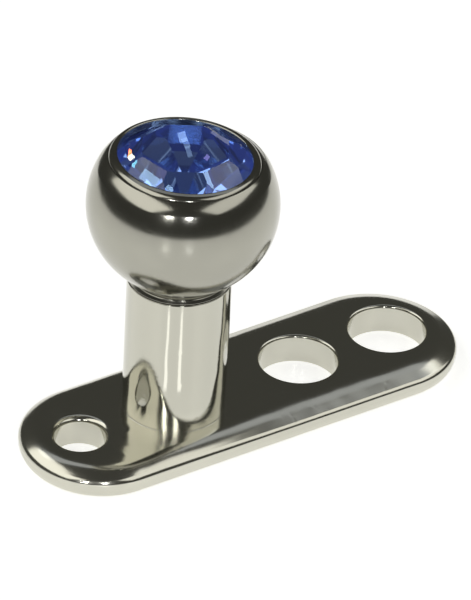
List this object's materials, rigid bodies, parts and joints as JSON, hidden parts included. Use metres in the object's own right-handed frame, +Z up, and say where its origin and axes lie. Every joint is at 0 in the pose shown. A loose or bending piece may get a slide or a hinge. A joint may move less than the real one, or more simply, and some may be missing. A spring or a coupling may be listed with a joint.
{
  "type": "dermal anchor with jewelled ball top",
  "caption": "Polished steel dermal anchor: a long pierced foot plate with an upright post, and a screw-in ball top that holds a round faceted blue stone.",
  "frame": {"origin": "on the plate's flat underside, on the post's axis", "axes": "+X along the plate towards its long arm with the two large holes, +Y across the plate, +Z up the post towards the stone"},
  "size_m": [0.0079, 0.003, 0.0053],
  "materials": {
    "steel": "mirror polished",
    "blue_crystal": "cut and polished"
  },
  "bodies": {
    "anchor": {"anchor_base": "steel"},
    "top": {"ball_top": "steel", "stone": "blue_crystal"}
  },
  "joints": [
    {"name": "top_lift", "type": "slide", "parent": "anchor", "child": "top", "axis": [0, 0, 1], "range_m": [0, 0.0026]}
  ]
}
